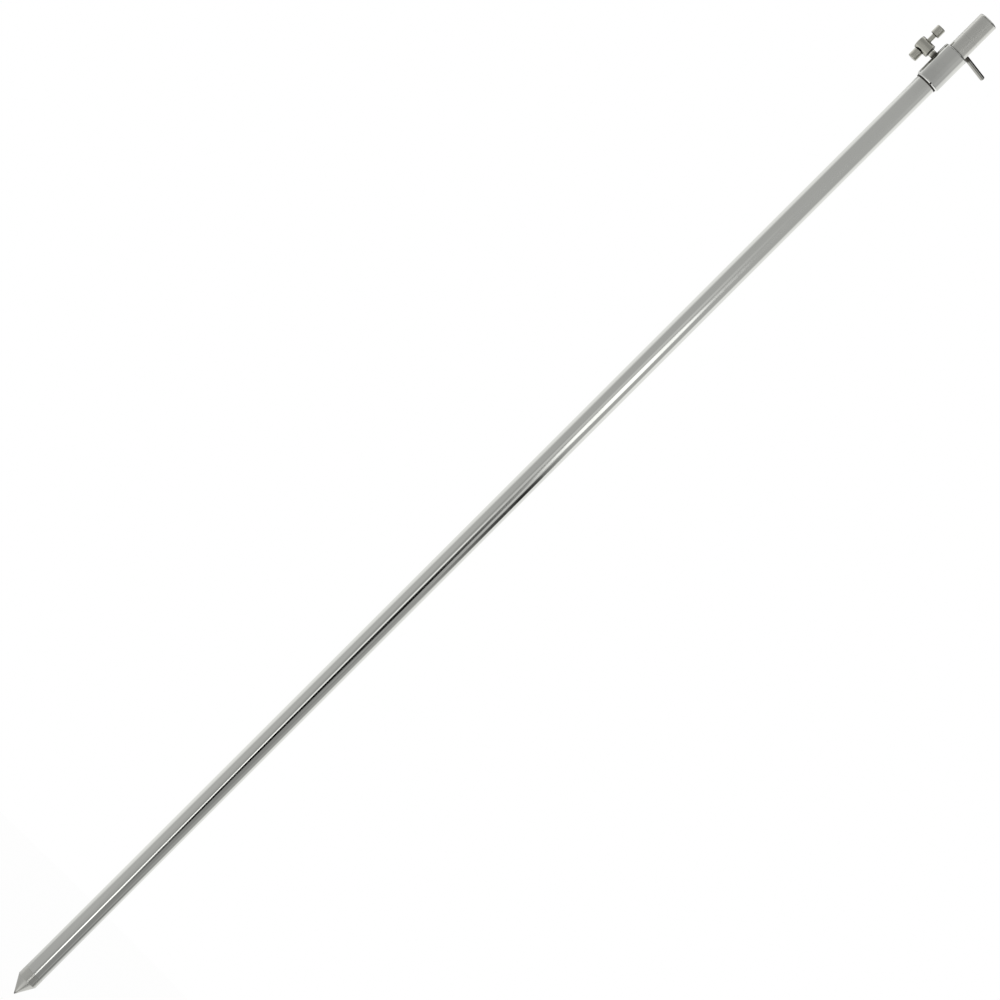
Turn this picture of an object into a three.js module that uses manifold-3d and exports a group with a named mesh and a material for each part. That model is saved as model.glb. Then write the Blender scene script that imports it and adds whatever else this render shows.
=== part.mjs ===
// Telescopic bank stick: a pointed outer tube, a sliding inner tube and a T-screw clamp.
// Millimetres, +Z up. The origin is the tip of the point, and -Y is the front.
import * as THREE from "three";
import { mergeVertices } from "three/addons/utils/BufferGeometryUtils.js";
import Module from "manifold-3d";

const wasm = await Module();
wasm.setup();

// Fits between the pieces
const slideClearance = 0.1; // radial, the inner tube in the outer tube
const guideClearance = 0.05; // radial, the foot plug in the outer tube
const pressClearance = 0.03; // radial, a pressed or brazed piece in its hole
const threadClearance = 0.1; // radial, a thread or a sliding shank in its hole
const seatGap = 0.05; // between two faces that rest on each other
const workingGap = 0.3; // between faces that meet when the clamp is tight
const cutOverrun = 1; // how far a cutter runs past the face that it cuts

// Outer tube
const outerTubeLength = 921.15;
const outerTubeRadius = 8;
const outerTubeWall = 0.4;

// Point: a turned cone with a flush shoulder and a spigot inside the outer tube
const coneLength = 13.4;
const coneTipRadius = 0.35;
const shoulderLength = 7.5;
const spigotLength = 25;
const spigotChamfer = 1;

// Clamp collar: a sleeve with a rounded lower end
const collarLength = 29.95;
const collarWall = 1.72;
const collarOverTube = 0.4; // its top stands this far over the outer tube's end
const collarTopRound = 0.95;
const collarNoseHeight = 1.4;
const collarNoseLip = 0.15; // flat left round the bore at the lower end
const notchWidth = 1.2;
const notchHeight = 1.5;
const notchTurn = THREE.MathUtils.degToRad(25); // from the front towards +X

// Clamp screw and its boss, on the -X side
const screwDrop = 12.15; // the screw's axis below the collar's top
const bossRadius = 2.9;
const bossReach = 2.95; // out of the collar
const bossChamfer = 0.6;
const shankRadius = 1.95;
const pilotRadius = 1;
const pilotLength = 1.2;
const screwShoulderRadius = 3.1;
const screwShoulderLength = 0.7;
const headRadius = 5;
const headLength = 11.2;
const headChamfer = 0.45;
const padLength = 2.2;
const padSocketDepth = 1.3;

// Tommy bar through the screw's head
const barRadius = 1.75;
const barFromHeadEnd = 4.8; // the bar's axis below the head's outer end
const barTravel = 5.7;
const barEndDepth = 5.2; // how far the bar goes into each knob
const knobRadius = 3.5;
const knobLength = 7;
const knobInnerChamfer = 0.3;
const knobOuterChamfer = 0.8;
const knobStopGap = 0.15; // between a knob and the head where the bar stops

// Inner tube: closed, it reaches down to just above the point's spigot
const innerTubeWall = 0.4;
const footGap = 4.5; // from the spigot up to the foot plug

// Threaded head: it carries on the inner tube's outside, with a spigot in the tube's top end
const topLength = 19.5;
const topSpigotLength = 6;
const topSpigotLift = 1.8; // over the stop pin
const topSpigotChamfer = 0.5;
const topRound = 0.9;
const socketRadius = 4.15;
const socketFloor = 3.5; // left under the socket
const socketCountersink = 0.6;

// Plug in the inner tube's foot
const plugFlangeLength = 3;
const plugLength = 12;
const plugChamfer = 0.8;

// Stop pin, behind and to the right of the inner tube
const stopPinRadius = 1.85;
const stopPinReach = 35; // from the stick's axis to the pin's free end
const stopPinTurn = THREE.MathUtils.degToRad(52); // from +X towards the back
const stopPinLift = 1.5; // its underside above the collar's top
const stopPinChamfer = 0.3;

// Facets of the round pieces
const tubeSides = 64;
const smallSides = 32;
const arcSteps = 6;
const mergeDistance = 1e-4;

// Sizes that follow from those above
const shoulderTop = coneLength + shoulderLength;
const outerBore = outerTubeRadius - outerTubeWall;
const outerTubeFoot = shoulderTop + seatGap;
const outerTubeTop = outerTubeFoot + outerTubeLength;
const collarBore = outerTubeRadius + pressClearance;
const collarRadius = collarBore + collarWall;
const collarTop = outerTubeTop + collarOverTube;
const collarFoot = collarTop - collarLength;
const innerTubeRadius = outerBore - slideClearance;
const innerBore = innerTubeRadius - innerTubeWall;
const stopPinHeight = collarTop + stopPinLift + stopPinRadius;
const topSpigotFoot = stopPinHeight + stopPinRadius + topSpigotLift;
const topFoot = topSpigotFoot + topSpigotLength;
const stickTop = topFoot + topLength;
const innerTubeTop = topFoot - seatGap;
const plugFoot = shoulderTop + spigotLength + footGap;
const innerTubeFoot = plugFoot + plugFlangeLength + seatGap;
const screwHeight = collarTop - screwDrop;
const screwHoleRadius = shankRadius + threadClearance;

// Places along the screw's axis, as distances from the stick's axis
const padFace = innerTubeRadius + workingGap;
const padBack = padFace + padLength;
const screwTip = padBack + seatGap;
const bossFoot = outerTubeRadius + workingGap;
const bossTop = collarRadius + bossReach;
const screwShoulder = bossTop + workingGap;
const headFoot = screwShoulder + screwShoulderLength;
const headTop = headFoot + headLength;
const barDistance = headTop - barFromHeadEnd;

// Places along the tommy bar, from the screw's axis
const lowerKnobTop = -headRadius - knobStopGap;
const upperKnobFoot = headRadius + knobStopGap + barTravel;

function point(radius, height) {
  return new THREE.Vector2(radius, height);
}

// A quarter of an ellipse that bulges outwards, from its lowest point up to its widest.
function lowerQuarter(radius, height, across, up) {
  return new THREE.EllipseCurve(radius, height, across, up, -Math.PI / 2, 0).getPoints(arcSteps);
}

// The same from its widest point up to its highest.
function upperQuarter(radius, height, across, up) {
  return new THREE.EllipseCurve(radius, height, across, up, 0, Math.PI / 2).getPoints(arcSteps);
}

// Half a section of a solid round bar, with a chamfer at each end.
function barOutline(radius, low, high, lowChamfer = 0, highChamfer = 0) {
  return [
    point(0, low),
    point(radius - lowChamfer, low),
    point(radius, low + lowChamfer),
    point(radius, high - highChamfer),
    point(radius - highChamfer, high),
    point(0, high),
  ];
}

// Half a section of a plain tube.
function tubeOutline(bore, radius, low, high) {
  return [point(bore, low), point(radius, low), point(radius, high), point(bore, high), point(bore, low)];
}

// An outline of radii and heights turned about the Z axis, with the middle of a facet at the front.
function turned(outline, sides) {
  const apart = outline.filter((p, i) => i === 0 || p.distanceTo(outline[i - 1]) > mergeDistance);
  return new THREE.LatheGeometry(apart, sides, Math.PI / sides).rotateX(Math.PI / 2);
}

// A closed geometry as a solid that can be joined and cut.
function solidOf(geometry) {
  const bare = geometry.clone();
  bare.deleteAttribute("normal");
  bare.deleteAttribute("uv");
  const merged = mergeVertices(bare, mergeDistance);
  const corners = merged.index.array;
  const kept = [];
  for (let i = 0; i < corners.length; i += 3) {
    const [a, b, c] = corners.slice(i, i + 3);
    if (a !== b && b !== c && c !== a) kept.push(a, b, c);
  }
  const vertProperties = merged.attributes.position.array;
  return new wasm.Manifold(new wasm.Mesh({ numProp: 3, vertProperties, triVerts: new Uint32Array(kept) }));
}

function turnedSolid(outline, sides) {
  return solidOf(turned(outline, sides));
}

function cut(solid, ...cutters) {
  return cutters.reduce((left, cutter) => left.subtract(solidOf(cutter)), solid);
}

// A geometry made along +Z, laid along the screw's axis, which points to -X.
function alongScrew(geometry) {
  return geometry.rotateY(-Math.PI / 2).translate(0, 0, screwHeight);
}

// A geometry made along +Z, laid along the stop pin.
function alongStopPin(geometry) {
  return geometry.rotateY(Math.PI / 2).rotateZ(stopPinTurn);
}

// A named mesh of a solid, in one of the finishes below.
function piece(name, solid, finish) {
  const { numProp, vertProperties, triVerts } = solid.getMesh();
  const geometry = new THREE.BufferGeometry();
  geometry.setAttribute("position", new THREE.BufferAttribute(vertProperties, numProp));
  geometry.setIndex(new THREE.BufferAttribute(triVerts, 1));
  const facets = geometry.toNonIndexed();
  facets.computeVertexNormals();
  const mesh = new THREE.Mesh(facets, new THREE.MeshStandardMaterial(finish));
  mesh.name = name;
  return mesh;
}

// Finishes
const polishedSteel = { color: 0xcbccc8, metalness: 1, roughness: 0.1 };
const satinSteel = { color: 0xbdbdb7, metalness: 1, roughness: 0.32 };
const brass = { color: 0xb79a55, metalness: 1, roughness: 0.4 };
const blackPlastic = { color: 0x242426, metalness: 0, roughness: 0.55 };

function spikePoint() {
  const coneTurn = Math.atan2(coneLength, outerTubeRadius);
  const nose = new THREE.EllipseCurve(
    0, coneTipRadius, coneTipRadius, coneTipRadius, -Math.PI / 2, coneTurn - Math.PI / 2,
  );
  const spigotRadius = outerBore - pressClearance;
  const spigotTop = shoulderTop + spigotLength;
  return turnedSolid([
    ...nose.getPoints(arcSteps),
    point(outerTubeRadius, coneLength),
    point(outerTubeRadius, shoulderTop),
    point(spigotRadius, shoulderTop),
    point(spigotRadius, spigotTop - spigotChamfer),
    point(spigotRadius - spigotChamfer, spigotTop),
    point(0, spigotTop),
  ], tubeSides);
}

function outerTube() {
  const wall = turnedSolid(tubeOutline(outerBore, outerTubeRadius, outerTubeFoot, outerTubeTop), tubeSides);
  const screwHole = turned(barOutline(screwHoleRadius, 0, outerTubeRadius + cutOverrun), smallSides);
  return cut(wall, alongScrew(screwHole));
}

// A U-shaped notch that is open at the collar's lower edge.
function collarNotch() {
  const halfWidth = notchWidth / 2;
  const outline = new THREE.Shape();
  outline.moveTo(-halfWidth, -cutOverrun);
  outline.lineTo(halfWidth, -cutOverrun);
  outline.lineTo(halfWidth, notchHeight - halfWidth);
  outline.absarc(0, notchHeight - halfWidth, halfWidth, 0, Math.PI);
  outline.lineTo(-halfWidth, -cutOverrun);
  const notch = new THREE.ExtrudeGeometry(outline, {
    depth: collarRadius + cutOverrun,
    bevelEnabled: false,
    curveSegments: arcSteps,
  });
  return notch.rotateX(Math.PI / 2).rotateZ(notchTurn).translate(0, 0, collarFoot);
}

function clampCollar() {
  const sleeve = turnedSolid([
    point(collarBore, collarFoot),
    ...lowerQuarter(
      collarBore + collarNoseLip, collarFoot + collarNoseHeight, collarWall - collarNoseLip, collarNoseHeight,
    ),
    ...upperQuarter(collarRadius - collarTopRound, collarTop - collarTopRound, collarTopRound, collarTopRound),
    point(collarBore, collarTop),
    point(collarBore, collarFoot),
  ], tubeSides);
  const bossHole = turned(barOutline(bossRadius + pressClearance, 0, collarRadius + cutOverrun), smallSides);
  return cut(sleeve, alongScrew(bossHole), collarNotch());
}

function screwBoss() {
  const body = turnedSolid(barOutline(bossRadius, bossFoot, bossTop, 0, bossChamfer), smallSides);
  return cut(body, turned(barOutline(screwHoleRadius, bossFoot - cutOverrun, bossTop + cutOverrun), smallSides));
}

function clampScrew() {
  const screw = turnedSolid([
    point(0, screwTip - pilotLength),
    point(pilotRadius, screwTip - pilotLength),
    point(pilotRadius, screwTip),
    point(shankRadius, screwTip),
    point(shankRadius, screwShoulder),
    point(screwShoulderRadius, screwShoulder),
    point(screwShoulderRadius, headFoot),
    point(headRadius - headChamfer, headFoot),
    point(headRadius, headFoot + headChamfer),
    point(headRadius, headTop - headChamfer),
    point(headRadius - headChamfer, headTop),
    point(0, headTop),
  ], smallSides);
  const halfHole = headRadius + cutOverrun;
  const barHole = turned(barOutline(barRadius + threadClearance, -halfHole, halfHole), smallSides);
  return cut(screw, barHole.rotateY(Math.PI / 2).translate(0, 0, barDistance));
}

function pressurePad() {
  const pad = turnedSolid(barOutline(shankRadius, padFace, padBack), smallSides);
  const socket = barOutline(pilotRadius + threadClearance, padBack - padSocketDepth, padBack + cutOverrun);
  return cut(pad, turned(socket, smallSides));
}

function tommyBar() {
  const low = lowerKnobTop - barEndDepth;
  const high = upperKnobFoot + barEndDepth;
  return turnedSolid(barOutline(barRadius, low, high), smallSides);
}

// A knob made along +Z, open towards the screw, with its inner face at height zero.
function tommyKnob() {
  const body = barOutline(knobRadius, 0, knobLength, knobInnerChamfer, knobOuterChamfer);
  const socket = barOutline(barRadius + pressClearance, -cutOverrun, barEndDepth + seatGap);
  return cut(turnedSolid(body, smallSides), turned(socket, smallSides));
}

function innerTube() {
  const wall = turnedSolid(tubeOutline(innerBore, innerTubeRadius, innerTubeFoot, innerTubeTop), tubeSides);
  const pinHole = turned(
    barOutline(stopPinRadius + pressClearance, 0, innerTubeRadius + cutOverrun), smallSides,
  );
  return cut(wall, alongStopPin(pinHole).translate(0, 0, stopPinHeight));
}

// The pin's inner end stops just short of the wall opposite its hole.
function stopPin() {
  const innerEnd = -(innerBore - workingGap - stopPinRadius);
  return turnedSolid(barOutline(stopPinRadius, innerEnd, stopPinReach, 0, stopPinChamfer), smallSides);
}

function threadedHead() {
  const spigotRadius = innerBore - pressClearance;
  const socketFoot = topFoot + socketFloor;
  return turnedSolid([
    point(0, topSpigotFoot),
    point(spigotRadius - topSpigotChamfer, topSpigotFoot),
    point(spigotRadius, topSpigotFoot + topSpigotChamfer),
    point(spigotRadius, topFoot),
    point(innerTubeRadius, topFoot),
    ...upperQuarter(innerTubeRadius - topRound, stickTop - topRound, topRound, topRound),
    point(socketRadius + socketCountersink, stickTop),
    point(socketRadius, stickTop - socketCountersink),
    point(socketRadius, socketFoot),
    point(0, socketFoot),
  ], tubeSides);
}

function footPlug() {
  const plugRadius = innerBore - pressClearance;
  const flangeRadius = outerBore - guideClearance;
  const flangeTop = plugFoot + plugFlangeLength;
  return turnedSolid([
    point(0, plugFoot),
    point(flangeRadius - plugChamfer, plugFoot),
    point(flangeRadius, plugFoot + plugChamfer),
    point(flangeRadius, flangeTop),
    point(plugRadius, flangeTop),
    point(plugRadius, flangeTop + plugLength - plugChamfer),
    point(plugRadius - plugChamfer, flangeTop + plugLength),
    point(0, flangeTop + plugLength),
  ], tubeSides);
}

// The tommy bar and its knobs, along the bar's own Z axis.
function tommyGroup() {
  const group = new THREE.Group();
  const upperKnob = piece("tommy_knob_upper", tommyKnob(), satinSteel);
  upperKnob.position.z = upperKnobFoot;
  const lowerKnob = piece("tommy_knob_lower", tommyKnob(), satinSteel);
  lowerKnob.position.z = lowerKnobTop;
  lowerKnob.rotation.x = Math.PI;
  group.add(piece("tommy_bar", tommyBar(), satinSteel), upperKnob, lowerKnob);
  group.position.z = barDistance;
  group.rotation.y = Math.PI / 2;
  return group;
}

// Everything on the screw's axis, made along +Z and laid towards -X.
function screwGroup() {
  const group = new THREE.Group();
  group.add(
    piece("screw_boss", screwBoss(), satinSteel),
    piece("clamp_screw", clampScrew(), satinSteel),
    piece("pressure_pad", pressurePad(), brass),
    tommyGroup(),
  );
  group.position.z = screwHeight;
  group.rotation.y = -Math.PI / 2;
  return group;
}

function innerTubeGroup() {
  const group = new THREE.Group();
  const pin = piece("stop_pin", stopPin(), satinSteel);
  pin.position.z = stopPinHeight;
  pin.rotation.set(0, Math.PI / 2, stopPinTurn, "ZYX");
  group.add(
    piece("inner_tube", innerTube(), satinSteel),
    piece("threaded_head", threadedHead(), satinSteel),
    piece("foot_plug", footPlug(), blackPlastic),
    pin,
  );
  return group;
}

const bankStick = new THREE.Group();
bankStick.add(
  piece("outer_tube", outerTube(), polishedSteel),
  piece("spike_point", spikePoint(), satinSteel),
  piece("clamp_collar", clampCollar(), polishedSteel),
  screwGroup(),
  innerTubeGroup(),
);

export default bankStick;
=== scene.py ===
import math

import bmesh
import bpy
from mathutils import Matrix, Vector


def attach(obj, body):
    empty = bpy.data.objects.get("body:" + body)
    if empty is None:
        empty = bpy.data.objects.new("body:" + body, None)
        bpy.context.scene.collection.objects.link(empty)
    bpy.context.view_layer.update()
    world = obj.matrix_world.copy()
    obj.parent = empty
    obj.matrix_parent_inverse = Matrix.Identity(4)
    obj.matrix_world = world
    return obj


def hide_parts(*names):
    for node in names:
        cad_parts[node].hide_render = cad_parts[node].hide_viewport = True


# Telescopic bank stick, dressed over its CAD frame. Sizes in the dictionaries are millimetres.
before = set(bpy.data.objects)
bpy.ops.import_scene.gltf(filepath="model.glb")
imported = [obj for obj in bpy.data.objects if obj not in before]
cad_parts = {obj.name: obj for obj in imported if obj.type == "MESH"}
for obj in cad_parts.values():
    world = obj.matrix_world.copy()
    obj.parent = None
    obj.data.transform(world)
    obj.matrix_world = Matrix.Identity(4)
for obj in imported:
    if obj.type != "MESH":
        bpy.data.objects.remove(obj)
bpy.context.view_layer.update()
mm = 0.001
print("stage: frame loaded,", len(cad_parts), "nodes")


# Node helpers
def addNode(tree, kind, inputs=None, **settings):
    node = tree.nodes.new(kind)
    for key, value in settings.items():
        setattr(node, key, value)
    for key, value in (inputs or {}).items():
        if isinstance(value, bpy.types.NodeSocket):
            tree.links.new(value, node.inputs[key])
        else:
            node.inputs[key].default_value = value
    return node


def calculate(tree, operation, first, second=0.0, third=0.0):
    node = addNode(tree, "ShaderNodeMath", {0: first, 1: second, 2: third}, operation=operation)
    return node.outputs[0]


def addSockets(tree, direction, sockets):
    for name, kind, value in sockets:
        socket = tree.interface.new_socket(name, in_out=direction, socket_type="NodeSocket" + kind)
        if value is not None:
            socket.default_value = value


def mixColour(tree, share, first, second):
    mixed = addNode(tree, "ShaderNodeMix", {6: first, 7: second, 0: share}, data_type="RGBA")
    return mixed.outputs[2]


def startMaterial(name):
    material = bpy.data.materials.new(name)
    material.use_nodes = True
    material.node_tree.nodes.clear()
    return material, material.node_tree


def seenDirectly(tree, path):
    return calculate(tree, "MAXIMUM", path["Is Camera Ray"], path["Is Transmission Ray"])


def setInput(modifier, name, value):
    for item in modifier.node_group.interface.items_tree:
        if item.item_type == "SOCKET" and item.in_out == "INPUT" and item.name == name:
            modifier[item.identifier] = value


# Object helpers
def addObject(name, data):
    thing = bpy.data.objects.new(name, data)
    bpy.context.scene.collection.objects.link(thing)
    return thing


def meshFromShape(name, shape):
    mesh = bpy.data.meshes.new(name)
    shape.to_mesh(mesh)
    shape.free()
    return mesh


# Camera: square to the stick, a little to the right of its front, and rolled so that the stick lies along
# the photograph's diagonal. Turn is in degrees round the stick, positive towards +X.
cameraView = {
    "turn": 10.0,
    "place": (-4.22, -3327.0, 490.35),  # before the turn
    "along": (0.70778, 0.70643),  # the stick's +Z in the picture, to the right and up
    "lens": 169.2,
    "sensor": 36.0,
    "clipEnd": 100,  # metres
}


def addCamera(view):
    across, up = view["along"]
    right = Vector((up, 0, across))
    top = Vector((-across, 0, up))
    back = Vector((0, -1, 0))
    turn = Matrix((right, top, back)).transposed().to_4x4()
    data = bpy.data.cameras.new("photoCamera")
    data.lens = view["lens"]
    data.sensor_width = view["sensor"]
    data.clip_end = view["clipEnd"]
    camera = addObject("photoCamera", data)
    swing = Matrix.Rotation(math.radians(view["turn"]), 4, "Z")
    camera.matrix_world = swing @ Matrix.Translation(Vector(view["place"]) * mm) @ turn
    bpy.context.scene.camera = camera


addCamera(cameraView)


# Studio: a grey room in front, a white backdrop behind, and cards that the polished tube mirrors.
# Azimuth is in degrees round the stick, 0 towards the camera and positive to the right. Rise is the
# height of a direction's unit vector. Edge holds the width of a card's soft sides, foot and top. Lean
# shifts the azimuth by its first value per unit of rise, between the two rises that follow. A card with
# both set lies on both sides. A round one fills an ellipse, and its edge is a share of the ellipse. Later
# cards cover earlier ones.
studio = {
    "room": 0.57,
    "tint": (1, 1, 0.985, 1),
    "backdrop": {"left": -90, "leftEdge": 34, "right": 94, "rightEdge": 24, "light": 1.13},
    "cards": {
        "backFoot": {
            "azimuth": (90, 190), "rise": (-1.2, -0.122), "edge": (10, 0.03, 0.03), "light": 0.95,
            "both": True,
        },
        "leftFoot": {
            "azimuth": (-102, -76), "rise": (-1.2, -0.122), "edge": (16, 0.03, 0.03), "light": 0.57,
        },
        "leftGround": {
            "azimuth": (-190, -72), "rise": (-1.2, -0.139), "edge": (10, 0.03, 0.006), "light": 0.60,
        },
        "leftWall": {"azimuth": (-78, -36), "rise": (-0.13, 0.0), "edge": (20, 0.03, 0.03), "light": 0.63},
        "wallEnd": {
            "azimuth": (45, 93), "rise": (-0.35, -0.03), "edge": (10, 0.2, 0.03), "light": 0.47,
            "lean": (-120, 0.0, -0.13),
        },
        "rightWall": {"azimuth": (22, 66), "rise": (-1.2, -0.03), "edge": (8, 0.03, 0.03), "light": 0.36},
        "rightGlow": {"azimuth": (36, 52), "rise": (-0.058, -0.018), "edge": (8, 0.02, 0.02), "light": 0.48},
        "rightRidge": {"azimuth": (97, 113), "rise": (-0.025, 0.07), "edge": (8, 0.02, 0.02), "light": 1.25},
        "rightRise": {"azimuth": (52, 82), "rise": (0.115, 0.24), "edge": (16, 0.02, 0.06), "light": 0.65},
        "leftRise": {"azimuth": (-101, -78), "rise": (0.127, 0.24), "edge": (12, 0.004, 0.06), "light": 0.6},
        "frontDim": {"azimuth": (-62, 20), "rise": (0.1253, 0.24), "edge": (30, 0.004, 0.06), "light": 0.51},
        "lowFrame": {
            "azimuth": (-22, 2), "rise": (-0.150, -0.05), "edge": (8, 0.012, 0.03), "light": 0.42,
            "lean": (-270, -0.062, -0.112),
        },
        "frame": {"azimuth": (-27, 2), "rise": (-0.055, 0.018), "edge": (10, 0.03, 0.03), "light": 0.46},
        "lowWindow": {
            "azimuth": (-6.5, 5.2), "rise": (-0.1405, -0.060), "edge": (3, 0.002, 0.03), "light": 2.25,
            "lean": (-270, -0.062, -0.112),
        },
        "window": {"azimuth": (-7.5, 4), "rise": (-0.068, -0.004), "edge": (4, 0.03, 0.012), "light": 1.3},
        "faintWindow": {
            "azimuth": (-14, 5), "rise": (-0.004, 0.074), "edge": (8, 0.02, 0.03), "light": 0.76,
        },
        "black": {
            "azimuth": (4.8, 25.8), "rise": (-0.109, -0.034), "edge": (3, 0.028, 0.03), "light": 0.0,
            "lean": (-275, -0.078, -0.120),
        },
        "upperBlack": {
            "azimuth": (9.5, 33), "rise": (-0.046, 0.001), "edge": (5, 0.03, 0.042), "light": 0.0,
        },
        "darkPatch": {
            "azimuth": (58.5, 98), "rise": (-0.016, 0.0125), "edge": (9, 0.040, 0.008), "light": 0.0,
            "lean": (-320, -0.005, -0.03),
        },
        "softBox": {
            "azimuth": (12, 51), "rise": (0.0115, 0.0605), "edge": 0.35, "light": 1.72, "round": True,
        },
        "softBoxFoot": {
            "azimuth": (38, 50), "rise": (-0.006, 0.012), "edge": (8, 0.012, 0.01), "light": 0.85,
        },
        "collarShade": {
            "azimuth": (-188, -150), "rise": (0.1256, 0.1352), "edge": (8, 0.0008, 0.0008), "light": 0.0,
            "lean": (-4700, 0.1345, 0.127),
        },
        "below": {"azimuth": (-80, 74), "rise": (-0.94, -0.24), "edge": (20, 0.06, 0.1), "light": 0.62},
        "cornerLine": {
            "azimuth": (83, 92), "rise": (-0.97, -0.112), "edge": (5, 0.05, 0.02), "light": 0.16,
            "lean": (35, -0.12, -1.0),
        },
        "underfoot": {"azimuth": (-200, 200), "rise": (-1.2, -0.94), "edge": (1, 0.06, 0.06), "light": 1.1},
        "ceiling": {
            "azimuth": (-10, 82), "rise": (0.27, 0.84), "edge": (30, 0.1, 0.1), "light": 0.22,
            "both": True,
        },
        "ceilingBack": {"azimuth": (94, 200), "rise": (0.50, 0.9), "edge": (10, 0.06, 0.06), "light": 0.0},
        "ceilingFront": {"azimuth": (-40, 40), "rise": (0.27, 0.97), "edge": (20, 0.1, 0.04), "light": 0.42},
        "upperBack": {
            "azimuth": (150, 190), "rise": (0.19, 0.84), "edge": (20, 0.04, 0.04), "light": 0.08,
            "both": True,
        },
    },
    "white": 1.0,
}


def rampUp(tree, value, start, width):
    node = addNode(tree, "ShaderNodeMapRange", {0: value, 1: start - width / 2, 2: start + width / 2})
    node.interpolation_type = "SMOOTHSTEP"
    return node.outputs[0]


def softBand(tree, value, limits, lowWidth, highWidth):
    inside = rampUp(tree, value, limits[0], lowWidth)
    past = rampUp(tree, value, limits[1], highWidth)
    return calculate(tree, "SUBTRACT", inside, past)


def roundMask(tree, card, azimuth, rise):
    reach = []
    for value, (low, high) in ((azimuth, card["azimuth"]), (rise, card["rise"])):
        offset = calculate(tree, "SUBTRACT", value, (low + high) / 2)
        reach.append(calculate(tree, "DIVIDE", offset, (high - low) / 2))
    risen = calculate(tree, "MULTIPLY", reach[1], reach[1])
    radius = calculate(tree, "SQRT", calculate(tree, "MULTIPLY_ADD", reach[0], reach[0], risen))
    return calculate(tree, "SUBTRACT", 1.0, rampUp(tree, radius, 1.0, card["edge"]))


def cardMask(tree, card, azimuth, rise):
    if card.get("both"):
        azimuth = calculate(tree, "ABSOLUTE", azimuth)
    if "lean" in card:
        slope, top, foot = card["lean"]
        fallen = calculate(tree, "MAXIMUM", calculate(tree, "MINIMUM", rise, top), foot)
        shift = calculate(tree, "MULTIPLY", calculate(tree, "SUBTRACT", fallen, top), slope)
        azimuth = calculate(tree, "SUBTRACT", azimuth, shift)
    if card.get("round"):
        return roundMask(tree, card, azimuth, rise)
    side, foot, top = card["edge"]
    across = softBand(tree, azimuth, card["azimuth"], side, side)
    return calculate(tree, "MULTIPLY", across, softBand(tree, rise, card["rise"], foot, top))


def addStudio(values):
    world = bpy.data.worlds.new("studio")
    world.use_nodes = True
    tree = world.node_tree
    tree.nodes.clear()
    direction = addNode(tree, "ShaderNodeTexCoord").outputs["Generated"]
    parts = addNode(tree, "ShaderNodeSeparateXYZ", {0: direction}).outputs
    towards = calculate(tree, "MULTIPLY", parts["Y"], -1.0)
    azimuth = calculate(tree, "DEGREES", calculate(tree, "ARCTAN2", parts["X"], towards))
    azimuth = calculate(tree, "SUBTRACT", azimuth, cameraView["turn"])
    azimuth = calculate(tree, "WRAP", azimuth, 180.0, -180.0)
    back = values["backdrop"]
    rightSide = rampUp(tree, azimuth, back["right"], back["rightEdge"])
    leftSide = calculate(tree, "SUBTRACT", 1.0, rampUp(tree, azimuth, back["left"], back["leftEdge"]))
    behind = calculate(tree, "MAXIMUM", leftSide, rightSide)
    light = calculate(tree, "MULTIPLY_ADD", behind, back["light"] - values["room"], values["room"])
    for card in values["cards"].values():
        mask = cardMask(tree, card, azimuth, parts["Z"])
        change = calculate(tree, "SUBTRACT", card["light"], light)
        light = calculate(tree, "MULTIPLY_ADD", mask, change, light)
    room = addNode(tree, "ShaderNodeBackground", {"Color": values["tint"], "Strength": light})
    white = addNode(tree, "ShaderNodeBackground", {"Color": (1, 1, 1, 1), "Strength": values["white"]})
    seen = seenDirectly(tree, addNode(tree, "ShaderNodeLightPath").outputs)
    mixed = addNode(tree, "ShaderNodeMixShader", {0: seen, 1: room.outputs[0], 2: white.outputs[0]})
    addNode(tree, "ShaderNodeOutputWorld", {"Surface": mixed.outputs[0]})
    bpy.context.scene.world = world
    bpy.context.scene.view_settings.view_transform = "Standard"


addStudio(studio)


# Soft lamps above, all higher than what the upright tube mirrors to the camera
lamps = [
    {"name": "keyLamp", "place": (-1500, -1900, 2900), "aim": (0, 0, 600), "size": 1400, "power": 26},
    {"name": "fillLamp", "place": (1900, -1500, 2300), "aim": (0, 0, 500), "size": 1600, "power": 14},
    {"name": "backLamp", "place": (300, 2400, 2600), "aim": (0, 0, 500), "size": 1600, "power": 16},
]


def addLamp(values):
    data = bpy.data.lights.new(values["name"], "AREA")
    data.shape = "DISK"
    data.size = values["size"] * mm
    data.energy = values["power"]
    lamp = addObject(values["name"], data)
    lamp.location = Vector(values["place"]) * mm
    aim = Vector(values["aim"]) * mm - lamp.location
    lamp.rotation_euler = aim.to_track_quat("-Z", "Y").to_euler()
    lamp.visible_glossy = False  # the metal mirrors the room and its cards only


for lampValues in lamps:
    addLamp(lampValues)

floorDisc = {"radius": 700, "facets": 96, "colour": (0.86, 0.86, 0.85, 1), "white": 1.0, "whiteShare": 0.96}


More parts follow.
